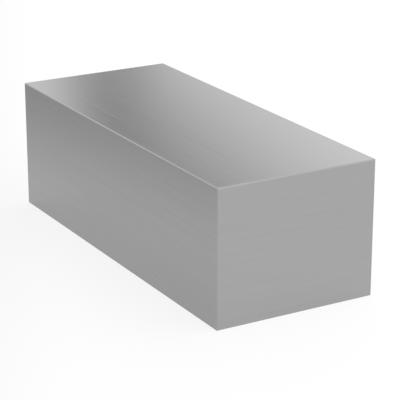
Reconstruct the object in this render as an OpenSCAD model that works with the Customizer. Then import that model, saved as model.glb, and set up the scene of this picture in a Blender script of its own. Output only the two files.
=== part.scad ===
// A short piece of cold-drawn steel flat bar, lying on one of its wide faces.
// The die leaves a small radius along the four long edges. The two ends are sawn square
// and deburred with a narrow chamfer all round.
// +X runs along the bar, +Y across its width and +Z up through its thickness.
// The origin is the middle of the face that the bar lies on.

/* [Section] */
// Width of the drawn section
bar_width = 63.5; // [20:0.1:150]
// Thickness of the drawn section
bar_thickness = 50.8; // [12:0.1:120]
// Radius along the four long edges
edge_radius = 0.4; // [0.2:0.05:3]

/* [Sawn piece] */
// Length that the piece is sawn to
bar_length = 152.4; // [40:0.1:1000]
// Leg of the deburring chamfer round each end
end_chamfer = 0.35; // [0.2:0.05:3]

/* [Hidden] */

// Facets of a full circle wherever the bar is drawn as a mesh
$fn = 64;

// Rectangle with rounded corners, centred on the origin
module rounded_rectangle(width, height, radius) {
    square([width - 2 * radius, height], center = true);
    square([width, height - 2 * radius], center = true);
    for (x = [-1, 1], y = [-1, 1])
        translate([x * (width / 2 - radius), y * (height / 2 - radius)])
            circle(r = radius);
}

// Rectangle with its corners cut off at 45 degrees, centred on the origin
module chamfered_rectangle(width, height, leg) {
    half_w = width / 2;
    half_h = height / 2;
    polygon([
        [half_w - leg, half_h],
        [leg - half_w, half_h],
        [-half_w, half_h - leg],
        [-half_w, leg - half_h],
        [leg - half_w, -half_h],
        [half_w - leg, -half_h],
        [half_w, leg - half_h],
        [half_w, half_h - leg],
    ]);
}

// The drawn section, run along the bar
module drawn_length() {
    rotate([90, 0, 90])
        linear_extrude(bar_length, center = true)
            rounded_rectangle(bar_width, bar_thickness, edge_radius);
}

// Side view of the piece, with the end chamfers of the top and bottom faces, run across the width
module side_view_blank() {
    rotate([90, 0, 0])
        linear_extrude(bar_width, center = true)
            chamfered_rectangle(bar_length, bar_thickness, end_chamfer);
}

// Plan view of the piece, with the end chamfers of the two side faces, run through the thickness
module plan_view_blank() {
    linear_extrude(bar_thickness, center = true)
        chamfered_rectangle(bar_length, bar_width, end_chamfer);
}

// The whole bar: what the drawn length, the side view and the plan view have in common
module flat_bar() {
    color("darkgray")
        translate([0, 0, bar_thickness / 2])
            intersection() {
                drawn_length();
                side_view_blank();
                plan_view_blank();
            }
}

flat_bar();
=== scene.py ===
import math

import bpy
import numpy as np
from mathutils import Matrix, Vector


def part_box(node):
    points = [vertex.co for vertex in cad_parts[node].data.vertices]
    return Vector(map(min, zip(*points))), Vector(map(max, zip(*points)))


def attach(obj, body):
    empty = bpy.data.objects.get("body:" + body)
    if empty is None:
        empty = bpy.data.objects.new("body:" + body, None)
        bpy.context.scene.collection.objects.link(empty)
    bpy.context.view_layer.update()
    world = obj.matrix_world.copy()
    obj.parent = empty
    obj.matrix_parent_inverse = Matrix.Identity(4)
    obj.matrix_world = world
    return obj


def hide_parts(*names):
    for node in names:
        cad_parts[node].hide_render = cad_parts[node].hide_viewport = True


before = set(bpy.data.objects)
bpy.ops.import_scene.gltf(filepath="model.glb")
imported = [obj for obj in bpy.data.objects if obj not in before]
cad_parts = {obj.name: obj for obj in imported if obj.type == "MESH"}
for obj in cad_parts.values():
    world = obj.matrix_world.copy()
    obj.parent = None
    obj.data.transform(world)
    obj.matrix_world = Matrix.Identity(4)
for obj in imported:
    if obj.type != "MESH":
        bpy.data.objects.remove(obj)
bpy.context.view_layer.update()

# Sizes of the bar, in metres and degrees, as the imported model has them
bar_low, bar_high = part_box("flat_bar")
HALF_LENGTH = bar_high.x
HALF_WIDTH = bar_high.y
HALF_THICKNESS = (bar_high.z - bar_low.z) / 2
MIDDLE = (bar_low + bar_high) / 2
EDGE_RADIUS = 0.0004
END_CHAMFER = 0.00035
CHAMFER_ANGLE = 45.0

# Grid of the bar's mesh, lengths in metres
LINE_PITCH = 0.0005
STATION_PITCH = 0.004
SEAM_STRIP = 0.00003
ARC_STEPS = 8
CHAMFER_FILLET = 0.0001
FILLET_STEPS = 3

# Relief of the draw lines and saw lines, lengths in metres
DRAW_LINE_DEPTH = 0.0000012
SAW_LINE_DEPTH = 0.000004
RELIEF_FADE = 0.002
RELIEF_SEED = 11
# A line changes over 1 / LINE_PARTS of its length, and lines side by side blend over LINE_BLEND places
LINE_PARTS = 3
LINE_BLEND = 5

# Material index of each finish on the mesh
DRAWN, SAWN, FILED = range(3)

# Steels: noise scales are per metre along X, Y and Z, and line heights are in metres
DRAWN_STEEL = {
    "grey": 0.336,
    "tone_change": 0.02,
    "roughness": 0.17,
    "roughness_change": 0.02,
    "streak_scale": (6.0, 700.0, 700.0),
    "line_scale": (18.0, 3500.0, 3500.0),
    "line_height": 0.0000006,
}
# Sawn ends: real saw lines, with a grey raised above the drawn steel's as painted light that makes up for
# the darker floor they reflect
SAWN_STEEL_WITH_PAINTED_LIGHT = {
    "grey": 0.384,
    "tone_change": 0.01,
    "roughness": 0.2,
    "roughness_change": 0.03,
    "streak_scale": (700.0, 12.0, 700.0),
    "line_scale": (3000.0, 40.0, 3000.0),
    "line_height": 0.000001,
}
# Filed edges: a grey raised above the drawn steel's as a painted highlight that brightens the edge lines
FILED_STEEL_WITH_PAINTED_HIGHLIGHT = {
    "grey": 0.363,
    "tone_change": 0.02,
    "roughness": 0.2,
    "roughness_change": 0.03,
    "streak_scale": (1500.0, 300.0, 300.0),
    "line_scale": (4000.0, 1500.0, 1500.0),
    "line_height": 0.000001,
}
LINE_TONE_CHANGE = 0.02
STREAK_DETAIL = 3.0
LINE_DETAIL = 2.0
NOISE_ROUGHNESS = 0.6
NOISE_LOW = 0.3
NOISE_HIGH = 0.7

# Camera, lengths of its place in metres, of its lens in millimetres, and angles in degrees
QUARTER_TURN = 90.0
CAMERA_AIM = MIDDLE + Vector((0.00413, 0.0033, -0.00633))
CAMERA_AZIMUTH = 60.02
CAMERA_ELEVATION = 19.14
CAMERA_DISTANCE = 0.62984
CAMERA_LENS = 149.93
CAMERA_SENSOR = 36.0
CAMERA_CLIP = 0.01

# Room: a white tent hung with grey cards, round flags and two lit panels, angles in degrees
ROOM_FILL = 1.2
ROOM_KEY = 1.42
ROOM_TURN = 9.3
ROOM_DARKEST = 0.05
CEILING_START = 40.0
CEILING_SHARE = 0.75
LIGHT_AZIMUTH = 64.4
LIGHT_FILL = 0.4
LIGHT_KEY = 1.7
LIGHT_TURN = 0.4
CARD_AZIMUTHS = (154.4, 133.0, 94.0, 49.0, 4.0, 319.0, 274.0, 229.4)
CARD_DEPTH = 1.1
CARD_TIP = 13.7
CARD_TOP = 26.9
CARD_SIDE_LEAN = -2.7
CARD_LOW_SLANT = -37.2
CARD_SIDE_BLUR = 1.1
CARD_LOW_BLUR = 2.9
CARD_TOP_BLUR = 16.0
SMALL_FLAG = {"azimuth": 153.6, "elevation": 13.3, "radius": 2.8, "depth": 0.55}
LARGE_FLAG = {"azimuth": 177.0, "elevation": 19.0, "radius": 7.0, "depth": 0.85}
SIDE_FLAG = {"azimuth": 66.0, "elevation": 39.0, "radius": 10.0, "depth": 0.55}
LEFT_PANEL = {"azimuth": 206.0, "elevation": 29.0, "radius": 18.0, "depth": -0.2}
FRONT_PANEL = {"azimuth": 241.0, "elevation": 28.0, "radius": 17.0, "depth": -0.3}
HIGH_FLAG_AZIMUTHS = (150.0, 100.0, 15.0, 330.0, 285.0, 240.0)
HIGH_FLAG = {"elevation": 51.0, "radius": 14.0, "depth": 0.5}

# Key softbox, lengths in metres and angles in degrees
KEY_AZIMUTH = 95.0
KEY_ELEVATION = 76.0
KEY_DISTANCE = 1.2
KEY_SIZE = 0.6
KEY_LEVEL = 0.8

# Floor, lengths in metres and angles in degrees
WHITE = (1.0, 1.0, 1.0, 1.0)
FLOOR_SIZE = 6.0
FLOOR_WHITE = 0.92
FLOOR_GLOW_SEEN = 0.84
FLOOR_GLOW_MIRRORED = 0.74
# Painted shade: past FADE_START the floor's paint and glow turn grey along FADE_AZIMUTH, a painted
# falloff of light
FADE_AZIMUTH = 247.0
FADE_START = 0.043
FADE_END = 0.202
PAINTED_SHADE_GREY = 0.64


def bearing(azimuth, elevation):
    """Unit vector towards an azimuth, counted in degrees from +X to +Y, and an elevation."""
    a = math.radians(azimuth)
    e = math.radians(elevation)
    return Vector((math.cos(e) * math.cos(a), math.cos(e) * math.sin(a), math.sin(e)))


def make_camera():
    """The camera, whose azimuth counts from the front of the bar."""
    data = bpy.data.cameras.new("camera")
    data.lens = CAMERA_LENS
    data.sensor_width = CAMERA_SENSOR
    data.clip_start = CAMERA_CLIP
    camera = bpy.data.objects.new("camera", data)
    back = bearing(CAMERA_AZIMUTH - QUARTER_TURN, CAMERA_ELEVATION)
    camera.location = CAMERA_AIM + back * CAMERA_DISTANCE
    camera.rotation_euler = (-back).to_track_quat("-Z", "Y").to_euler()
    bpy.context.scene.collection.objects.link(camera)
    bpy.context.scene.camera = camera


# Places and heights on the bar

def strips(half):
    """Places across a flat face from edge radius to edge radius, with a narrow strip at each side."""
    flat = half - EDGE_RADIUS
    inner = flat - SEAM_STRIP
    count = round(2 * inner / LINE_PITCH)
    return np.concatenate([[-flat], np.linspace(-inner, inner, count + 1), [flat]])


def chamfer_steps():
    """Pairs of (distance from the end plane, inset) over the deburred edge of an end."""
    tangent = CHAMFER_FILLET * math.tan(math.radians(CHAMFER_ANGLE / 2))
    steps = []
    for k in range(FILLET_STEPS + 1):
        turn = math.radians(CHAMFER_ANGLE * k / FILLET_STEPS)
        distance = CHAMFER_FILLET * (1 - math.cos(turn))
        steps.append((distance, END_CHAMFER + tangent - CHAMFER_FILLET * math.sin(turn)))
    return steps + [(inset, distance) for distance, inset in reversed(steps)]


def stations():
    """Pairs of (x, inset) from one end of the bar to the other."""
    steps = chamfer_steps()
    inner = HALF_LENGTH - steps[-1][0] - SEAM_STRIP
    count = round(2 * inner / STATION_PITCH)
    left = [(distance - HALF_LENGTH, inset) for distance, inset in steps]
    middle = [(x, 0.0) for x in np.linspace(-inner, inner, count + 1)]
    right = [(HALF_LENGTH - distance, inset) for distance, inset in reversed(steps)]
    return left + middle + right


def fine_lines(rng, rows, columns):
    """Heights from 0 to 1 of fine lines that run along the rows and change slowly on their way."""
    along = np.hanning(2 * (rows // LINE_PARTS) + 1)
    over = np.hanning(LINE_BLEND)
    heights = rng.standard_normal((rows + len(along) - 1, columns + len(over) - 1))
    heights = np.apply_along_axis(np.convolve, 0, heights, along, "valid")
    heights = np.apply_along_axis(np.convolve, 1, heights, over, "valid")
    return (heights - heights.min()) / (heights.max() - heights.min())


def fade_to_edges(places):
    """0 at the two ends of a run of places and 1 further in."""
    return np.clip((np.abs(places).max() - np.abs(places)) / RELIEF_FADE, 0, 1)


# Points and faces of the bar

def section_ring(inset, across, upright, sink):
    """One turn round the section, pulled in by inset, with the flat faces sunk by their relief."""
    radius = EDGE_RADIUS - inset / 2
    corner_y = HALF_WIDTH - inset - radius
    corner_z = HALF_THICKNESS - inset - radius
    ys = across * corner_y / across[-1]
    zs = upright * corner_z / upright[-1]
    arc = np.linspace(0, np.pi / 2, ARC_STEPS + 1)[1:-1]
    top, front, bottom, back = sink
    runs = [
        (ys[::-1], HALF_THICKNESS - inset - top, -1, 1),
        (front + inset - HALF_WIDTH, zs[::-1], -1, -1),
        (ys, bottom + inset - HALF_THICKNESS, 1, -1),
        (HALF_WIDTH - inset - back, zs, 1, 1),
    ]
    y_parts = []
    z_parts = []
    for turn, (y, z, side_y, side_z) in enumerate(runs, start=1):
        angle = turn * np.pi / 2 + arc
        y_parts += [y, side_y * corner_y + radius * np.cos(angle)]
        z_parts += [z, side_z * corner_z + radius * np.sin(angle)]
    return np.concatenate(y_parts), np.concatenate(z_parts)


def drawn_rings(rng, across, upright, places):
    """Points of the rings from one end of the bar to the other, with draw lines on its four faces."""
    reliefs = []
    for run in (across[::-1], upright[::-1], across, upright):
        lines = fine_lines(rng, len(places), len(run))
        reliefs.append(DRAW_LINE_DEPTH * lines * fade_to_edges(run))
    rings = []
    for number, (x, inset) in enumerate(places):
        sink = [relief[number] if inset == 0 else np.zeros(relief.shape[1]) for relief in reliefs]
        y, z = section_ring(inset, across, upright, sink)
        rings.append(np.column_stack([np.full(len(y), x), y, z]))
    return rings


def faces_between_rings(count, turn):
    """Faces that join each of count rings, of turn points each, to the next one."""
    faces = []
    for number in range(count - 1):
        start = number * turn
        for k in range(turn):
            after = (k + 1) % turn
            faces.append((start + k, start + after, start + turn + after, start + turn + k))
    return faces


def sawn_points(rng, across, upright, inset, side):
    """Grid of points on a sawn end with its saw lines: the left end is side -1, the right end side 1."""
    lines = fine_lines(rng, len(across), len(upright)).T
    sink = SAW_LINE_DEPTH * lines * fade_to_edges(across) * fade_to_edges(upright)[:, None]
    x = side * (HALF_LENGTH - sink)
    corner = EDGE_RADIUS + inset / 2
    y, z = np.meshgrid(across * (HALF_WIDTH - corner) / across[-1],
                       upright * (HALF_THICKNESS - corner) / upright[-1])
    return np.column_stack([x.ravel(), y.ravel(), z.ravel()])


def sawn_faces(first, ring, columns, rows, outward):
    """Faces of a sawn end: its grid of points, from index first on, joined to the ring round it."""
    def grid(column, row):
        return first + row * columns + column

    faces = []
    for row in range(rows - 1):
        for column in range(columns - 1):
            faces.append((grid(column, row), grid(column + 1, row),
                          grid(column + 1, row + 1), grid(column, row + 1)))
    borders = [
        [grid(column, rows - 1) for column in reversed(range(columns))],
        [grid(0, row) for row in reversed(range(rows))],
        [grid(column, 0) for column in range(columns)],
        [grid(columns - 1, row) for row in range(rows)],
    ]
    place = 0
    for border in borders:
        for k in range(len(border) - 1):
            faces.append((border[k], ring[place + k], ring[place + k + 1], border[k + 1]))
        place += len(border) - 1
        for k in range(ARC_STEPS):
            faces.append((border[-1], ring[place + k], ring[(place + k + 1) % len(ring)]))
        place += ARC_STEPS
    return faces if outward else [face[::-1] for face in faces]


def make_bar():
    """The bar as one closed mesh, with its drawn faces, its deburred edges and its sawn ends."""
    rng = np.random.default_rng(RELIEF_SEED)
    across = strips(HALF_WIDTH)
    upright = strips(HALF_THICKNESS)
    places = stations()
    points = drawn_rings(rng, across, upright, places)
    turn = len(points[0])
    faces = faces_between_rings(len(places), turn)
    ring_faces = len(faces)
    chamfer_faces = turn * (len(chamfer_steps()) - 1)

    total = turn * len(places)
    last = len(places) - 1
    for ring_number, side in ((0, -1), (last, 1)):
        grid = sawn_points(rng, across, upright, places[ring_number][1], side)
        ring = [ring_number * turn + k for k in range(turn)]
        points.append(grid)
        faces += sawn_faces(total, ring, len(across), len(upright), side > 0)
        total += len(grid)

    finish = np.full(len(faces), DRAWN, np.int32)
    finish[:chamfer_faces] = FILED
    finish[ring_faces - chamfer_faces:ring_faces] = FILED
    finish[ring_faces:] = SAWN
    mesh = bpy.data.meshes.new("steel_bar")
    mesh.from_pydata((np.concatenate(points) + np.array(MIDDLE)).tolist(), [], faces)
    for material in (drawn_steel(), sawn_steel_with_painted_light(), filed_steel_with_painted_highlight()):
        mesh.materials.append(material)
    mesh.polygons.foreach_set("material_index", finish)
    mesh.shade_smooth()
    mesh.validate()
    bar = bpy.data.objects.new("steel_bar", mesh)
    bpy.context.scene.collection.objects.link(bar)
    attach(bar, "root")
    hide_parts("flat_bar")


# Short forms for nodes

def node(tree, kind, **inputs):
    """A new node with some of its inputs set, or linked where the value is a socket.

    An input is named by its name, or by its number after a low line."""
    made = tree.nodes.new(kind)
    for name, value in inputs.items():
        socket = made.inputs[int(name[1:]) if name[0] == "_" else name]
        if isinstance(value, bpy.types.NodeSocket):
            tree.links.new(value, socket)
        else:
            socket.default_value = value
    return made


def maths(tree, operation, first, second):
    made = node(tree, "ShaderNodeMath", _0=first, _1=second)
    made.operation = operation
    return made.outputs[0]


def dot(tree, first, second):
    made = node(tree, "ShaderNodeVectorMath", _0=first, _1=second)
    made.operation = "DOT_PRODUCT"
    return made.outputs["Value"]


def ramp(tree, value, start, end, low, high, smooth=False):
    """A value taken from the range start to end over to the range low to high, and held there."""
    made = node(tree, "ShaderNodeMapRange", _0=value, _1=start, _2=end, _3=low, _4=high)
    made.interpolation_type = "SMOOTHSTEP" if smooth else "LINEAR"
    return made.outputs[0]


def lines_noise(tree, scale, detail):
    """Noise from 0 to 1 that is stretched along the bar's axes by the given scales per metre."""
    place = node(tree, "ShaderNodeTexCoord").outputs["Object"]
    mapped = node(tree, "ShaderNodeMapping", Vector=place, Scale=scale).outputs[0]
    noise = node(tree, "ShaderNodeTexNoise", Vector=mapped, Scale=1.0, Detail=detail,
                 Roughness=NOISE_ROUGHNESS)
    return noise.outputs["Fac"]


def about(tree, noise, middle, change):
    """A value that follows a noise, from change below middle to change above it."""
    return ramp(tree, noise, NOISE_LOW, NOISE_HIGH, middle - change, middle + change)


def grey_colour(tree, tone):
    return node(tree, "ShaderNodeCombineColor", _0=tone, _1=tone, _2=tone).outputs[0]


def new_material(name):
    """An empty material, its node tree and the socket that its shader goes to."""
    material = bpy.data.materials.new(name)
    material.use_nodes = True
    tree = material.node_tree
    tree.nodes.clear()
    output = tree.nodes.new("ShaderNodeOutputMaterial")
    return material, tree, output.inputs["Surface"]


# Materials of the bar

def steel(name, grey, tone_change, roughness, roughness_change, streak_scale, line_scale, line_height):
    """Bare steel whose tone noise, gloss and fine lines follow the way that the face was worked; the
    greys of the sawn ends and filed edges are raised as painted light.
    """
    material, tree, surface = new_material(name)
    streaks = lines_noise(tree, streak_scale, STREAK_DETAIL)
    lines = lines_noise(tree, line_scale, LINE_DETAIL)
    broad_tone = about(tree, streaks, grey, grey * tone_change)
    tone = maths(tree, "MULTIPLY", broad_tone, about(tree, lines, 1.0, LINE_TONE_CHANGE))
    gloss = about(tree, lines, roughness, roughness_change)
    bump = node(tree, "ShaderNodeBump", Strength=1.0, Distance=line_height, Height=lines)
    shader = node(tree, "ShaderNodeBsdfPrincipled", Metallic=1.0, Roughness=gloss)
    tree.links.new(grey_colour(tree, tone), shader.inputs["Base Color"])
    tree.links.new(bump.outputs[0], shader.inputs["Normal"])
    tree.links.new(shader.outputs[0], surface)
    return material


def drawn_steel():
    return steel("drawn_steel", **DRAWN_STEEL)


# Steel of the sawn ends, whose grey is raised as painted light
def sawn_steel_with_painted_light():
    return steel("sawn_steel_with_painted_light", **SAWN_STEEL_WITH_PAINTED_LIGHT)


# Steel of the filed edges, whose grey is raised as a painted highlight
def filed_steel_with_painted_highlight():
    return steel("filed_steel_with_painted_highlight", **FILED_STEEL_WITH_PAINTED_HIGHLIGHT)


# Floor, room and light

def rays_that_see(tree, seen_share=1.0, mirrored_share=1.0):
    """A share for rays from the camera, one for rays of a reflection, and 0 for rays of light."""
    path = node(tree, "ShaderNodeLightPath").outputs
    mirrored = maths(tree, "MAXIMUM", path["Is Glossy Ray"], path["Is Transmission Ray"])
    return maths(tree, "MAXIMUM", maths(tree, "MULTIPLY", path["Is Camera Ray"], seen_share),
                 maths(tree, "MULTIPLY", mirrored, mirrored_share))


def floor_material():
    """White floor, glowing in part for the camera and reflections, that keeps a faint shadow and has
    painted shade that turns it grey to one side, mostly past the camera's view.
    """
    material, tree, surface = new_material("floor")
    place = node(tree, "ShaderNodeNewGeometry").outputs["Position"]
    reach = dot(tree, place, bearing(FADE_AZIMUTH, 0))
    # Painted shade: the floor's tone greys towards one side
    tone = ramp(tree, reach, FADE_START, FADE_END, 1.0, PAINTED_SHADE_GREY, smooth=True)
    glow = node(tree, "ShaderNodeEmission", Color=WHITE, Strength=tone)
    paint = maths(tree, "MULTIPLY", tone, FLOOR_WHITE)
    lit = node(tree, "ShaderNodeBsdfDiffuse", Color=grey_colour(tree, paint))
    share = rays_that_see(tree, FLOOR_GLOW_SEEN, FLOOR_GLOW_MIRRORED)
    mixed = node(tree, "ShaderNodeMixShader", Fac=share)
    tree.links.new(lit.outputs[0], mixed.inputs[1])
    tree.links.new(glow.outputs[0], mixed.inputs[2])
    tree.links.new(mixed.outputs[0], surface)
    return material


def make_floor():
    """One flat square under the bar."""
    half = FLOOR_SIZE / 2
    corners = [(-half, -half, 0), (half, -half, 0), (half, half, 0), (-half, half, 0)]
    mesh = bpy.data.meshes.new("floor")
    mesh.from_pydata(corners, [], [(0, 1, 2, 3)])
    mesh.materials.append(floor_material())
    floor = bpy.data.objects.new("floor", mesh)
    bpy.context.scene.collection.objects.link(floor)


def soft_edge(tree, direction, normal, blur):
    """1 on the side of a plane through the bar that its normal points to, and 0 on the other."""
    width = math.sin(math.radians(blur))
    return ramp(tree, dot(tree, direction, normal), -width, width, 0.0, 1.0, smooth=True)


def grey_card(tree, direction, azimuth):
    """1 on a three-cornered card that hangs with its tip down, and 0 beside it."""
    tip = bearing(azimuth, CARD_TIP)
    right = bearing(azimuth - QUARTER_TURN, 0)
    up = tip.cross(right)
    if up.z < 0:
        up = -up
    lean = math.radians(CARD_SIDE_LEAN)
    slant = math.radians(CARD_LOW_SLANT)
    side = soft_edge(tree, direction, right * math.cos(lean) + up * math.sin(lean), CARD_SIDE_BLUR)
    low = soft_edge(tree, direction, up * math.cos(slant) + right * math.sin(slant), CARD_LOW_BLUR)
    top = soft_edge(tree, direction, -bearing(azimuth, CARD_TOP + QUARTER_TURN), CARD_TOP_BLUR)
    return maths(tree, "MULTIPLY", maths(tree, "MULTIPLY", side, low), top)


def round_flag(tree, direction, azimuth, elevation, radius, depth):
    """Depth in the middle of a round flag, or of a lit panel where it is below 0, and 0 at the rim."""
    nearness = dot(tree, direction, bearing(azimuth, elevation))
    return ramp(tree, nearness, math.cos(math.radians(radius)), 1.0, 0.0, depth, smooth=True)


def room_seen(tree, direction):
    """Brightness of the room for the camera and for reflections."""
    key_side = dot(tree, direction, bearing(CARD_AZIMUTHS[0] - QUARTER_TURN, 0))
    wall = ramp(tree, key_side, 0.0, math.sin(math.radians(ROOM_TURN)), ROOM_FILL, ROOM_KEY)
    height = dot(tree, direction, bearing(0, QUARTER_TURN))
    ceiling_start = math.sin(math.radians(CEILING_START))
    ceiling = ramp(tree, height, ceiling_start, 1.0, 1.0, CEILING_SHARE, smooth=True)
    seen = maths(tree, "MULTIPLY", wall, ceiling)
    for azimuth in CARD_AZIMUTHS:
        card = maths(tree, "MULTIPLY", grey_card(tree, direction, azimuth), CARD_DEPTH)
        seen = maths(tree, "SUBTRACT", seen, card)
    for flag in (SMALL_FLAG, LARGE_FLAG, SIDE_FLAG, LEFT_PANEL, FRONT_PANEL):
        seen = maths(tree, "SUBTRACT", seen, round_flag(tree, direction, **flag))
    for azimuth in HIGH_FLAG_AZIMUTHS:
        seen = maths(tree, "SUBTRACT", seen, round_flag(tree, direction, azimuth, **HIGH_FLAG))
    return maths(tree, "MAXIMUM", seen, ROOM_DARKEST)


def make_room():
    """The world: the room that is seen, and a plain light from one side for the floor."""
    world = bpy.data.worlds.new("room")
    bpy.context.scene.world = world
    world.use_nodes = True
    tree = world.node_tree
    tree.nodes.clear()
    direction = node(tree, "ShaderNodeTexCoord").outputs["Generated"]
    seen = room_seen(tree, direction)
    lit_side = dot(tree, direction, bearing(LIGHT_AZIMUTH, 0))
    light = ramp(tree, lit_side, -LIGHT_TURN, LIGHT_TURN, LIGHT_FILL, LIGHT_KEY)
    level = node(tree, "ShaderNodeMix", _0=rays_that_see(tree), _2=light, _3=seen).outputs[0]
    background = node(tree, "ShaderNodeBackground", Color=WHITE, Strength=level)
    output = tree.nodes.new("ShaderNodeOutputWorld")
    tree.links.new(background.outputs[0], output.inputs["Surface"])


def make_key():
    """A square softbox above the bar, whose brightness follows KEY_LEVEL and not its size."""
    data = bpy.data.lights.new("key", "AREA")
    data.size = KEY_SIZE
    data.energy = KEY_LEVEL * math.pi * KEY_SIZE ** 2
    key = bpy.data.objects.new("key", data)
    towards = bearing(KEY_AZIMUTH, KEY_ELEVATION)
    key.location = MIDDLE + towards * KEY_DISTANCE
    key.rotation_euler = towards.to_track_quat("Z", "Y").to_euler()
    bpy.context.scene.collection.objects.link(key)


bpy.context.scene.view_settings.view_transform = "Standard"
make_camera()
make_bar()
make_floor()
make_room()
make_key()
